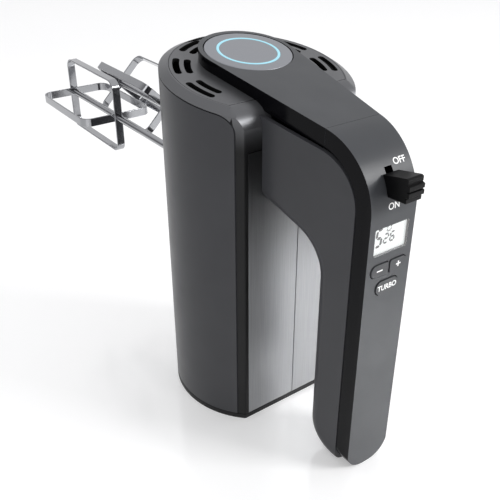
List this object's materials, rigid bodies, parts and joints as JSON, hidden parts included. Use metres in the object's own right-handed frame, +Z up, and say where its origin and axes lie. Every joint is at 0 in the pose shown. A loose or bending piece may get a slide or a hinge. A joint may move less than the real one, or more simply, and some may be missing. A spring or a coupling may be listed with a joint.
{
  "type": "hand mixer",
  "caption": "Upright hand mixer that stands on its heel, with a looped handle, display, keys, slide switch, lit round eject button and crossed strip beaters.",
  "frame": {"origin": "on the motor axis, in the plane of the heel that the mixer stands on", "axes": "+Z up along the motor shaft, +X towards the handle so that the beaters point along -X, +Y to the left of someone holding the handle and looking along the beaters"},
  "size_m": [0.3313, 0.105, 0.2126],
  "materials": {
    "dark_shell": "fine satin moulded plastic",
    "satin_frame": "satin silver paint",
    "gloss_cover": "polished plastic",
    "steel_panel": "upright brush lines",
    "button_satin": "satin anodised",
    "light_ring": "lit from behind",
    "display_glass": "clear",
    "display_panel": "pale lit panel",
    "key_cap": "fine satin",
    "knob_black": "matte, ribbed",
    "chrome": "polished",
    "black_plastic": "moulded",
    "inlet_rubber": "matte",
    "steel": "turned",
    "iron": "laminated",
    "copper": "enamelled copper",
    "bronze": "sintered bronze",
    "cast_alloy": "as cast",
    "gear_plastic": "natural acetal",
    "carbon": "pressed carbon",
    "circuit_board": "solder mask"
  },
  "bodies": {
    "housing": {"body_frame": "satin_frame", "body_shell": "dark_shell", "brush_holders": "bronze", "button_seat": "black_plastic", "carbon_brushes": "carbon", "control_board": "circuit_board", "cord_inlet": "inlet_rubber", "display_module": "display_panel", "display_window": "display_glass", "eject_spring": "steel", "field_coil_front": "copper", "field_coil_rear": "copper", "frame_columns": "black_plastic", "front_bushes": "bronze", "front_wall": "black_plastic", "gearbox_frame": "cast_alloy", "handle_front_cover": "gloss_cover", "handle_left_shell": "dark_shell", "handle_right_shell": "dark_shell", "handle_top_cover": "gloss_cover", "heel_plate": "black_plastic", "heel_posts": "black_plastic", "heel_screws": "steel", "key_switches": "black_plastic", "light_board": "circuit_board", "lower_bush": "bronze", "motor_bracket": "cast_alloy", "rear_bushes": "bronze", "shaft_bearing": "bronze", "slide_switch": "black_plastic", "socket_collars": "black_plastic", "stator": "iron", "steel_panel_left": "steel_panel", "steel_panel_right": "steel_panel", "upper_bush": "bronze", "vent_deck": "satin_frame"},
    "armature": {"motor_shaft": "steel", "armature_core": "iron", "armature_windings": "copper", "commutator": "copper", "cooling_fan": "black_plastic", "worm": "steel"},
    "drive_left": {"worm_wheel_left": "gear_plastic", "spindle_left": "steel"},
    "beater_left": {"beater_shaft_left": "chrome", "beater_loop_a_left": "chrome", "beater_loop_b_left": "chrome"},
    "drive_right": {"worm_wheel_right": "gear_plastic", "spindle_right": "steel"},
    "beater_right": {"beater_shaft_right": "chrome", "beater_loop_a_right": "chrome", "beater_loop_b_right": "chrome"},
    "eject_button": {"eject_button": "button_satin", "light_ring": "light_ring"},
    "ejector": {"ejector": "gear_plastic"},
    "switch_knob": {"switch_knob": "knob_black"},
    "minus_key": {"minus_key": "key_cap"},
    "plus_key": {"plus_key": "key_cap"},
    "turbo_key": {"turbo_key": "key_cap"}
  },
  "joints": [
    {"name": "motor_spin", "type": "hinge", "parent": "housing", "child": "armature", "pos_m": [0, 0, 0.09], "axis": [0, 0, 1], "continuous": true},
    {"name": "left_drive_spin", "type": "hinge", "parent": "housing", "child": "drive_left", "pos_m": [0, 0.0197, 0.1381], "axis": [1, 0, 0], "continuous": true},
    {"name": "right_drive_spin", "type": "hinge", "parent": "housing", "child": "drive_right", "pos_m": [0, -0.0197, 0.1381], "axis": [1, 0, 0], "continuous": true},
    {"name": "eject_press", "type": "slide", "parent": "housing", "child": "eject_button", "axis": [-0.1805, 0, -0.9836], "range_m": [0, 0.005], "stiffness_N_per_m": 900, "springref_m": -0.004, "deforming": ["eject_spring"]},
    {"name": "ejector_slide", "type": "slide", "parent": "housing", "child": "ejector", "axis": [-1, 0, 0], "range_m": [0, 0.005]},
    {"name": "left_beater_release", "type": "slide", "parent": "drive_left", "child": "beater_left", "axis": [-1, 0, 0], "range_m": [0, 0.005]},
    {"name": "right_beater_release", "type": "slide", "parent": "drive_right", "child": "beater_right", "axis": [-1, 0, 0], "range_m": [0, 0.005]},
    {"name": "switch_slide", "type": "slide", "parent": "housing", "child": "switch_knob", "axis": [-0.4462, 0, 0.8949], "range_m": [0, 0.004]},
    {"name": "minus_press", "type": "slide", "parent": "housing", "child": "minus_key", "axis": [-1, 0, 0], "range_m": [0, 0.001], "stiffness_N_per_m": 1200, "springref_m": -0.0008},
    {"name": "plus_press", "type": "slide", "parent": "housing", "child": "plus_key", "axis": [-1, 0, 0], "range_m": [0, 0.001], "stiffness_N_per_m": 1200, "springref_m": -0.0008},
    {"name": "turbo_press", "type": "slide", "parent": "housing", "child": "turbo_key", "axis": [-1, 0, 0], "range_m": [0, 0.001], "stiffness_N_per_m": 1200, "springref_m": -0.0008}
  ],
  "couplings": [
    {"joint": "left_drive_spin", "follows": "motor_spin", "ratio": 0.1},
    {"joint": "right_drive_spin", "follows": "motor_spin", "ratio": -0.1},
    {"joint": "ejector_slide", "follows": "eject_press", "ratio": 1},
    {"joint": "left_beater_release", "follows": "eject_press", "ratio": 1},
    {"joint": "right_beater_release", "follows": "eject_press", "ratio": 1}
  ]
}
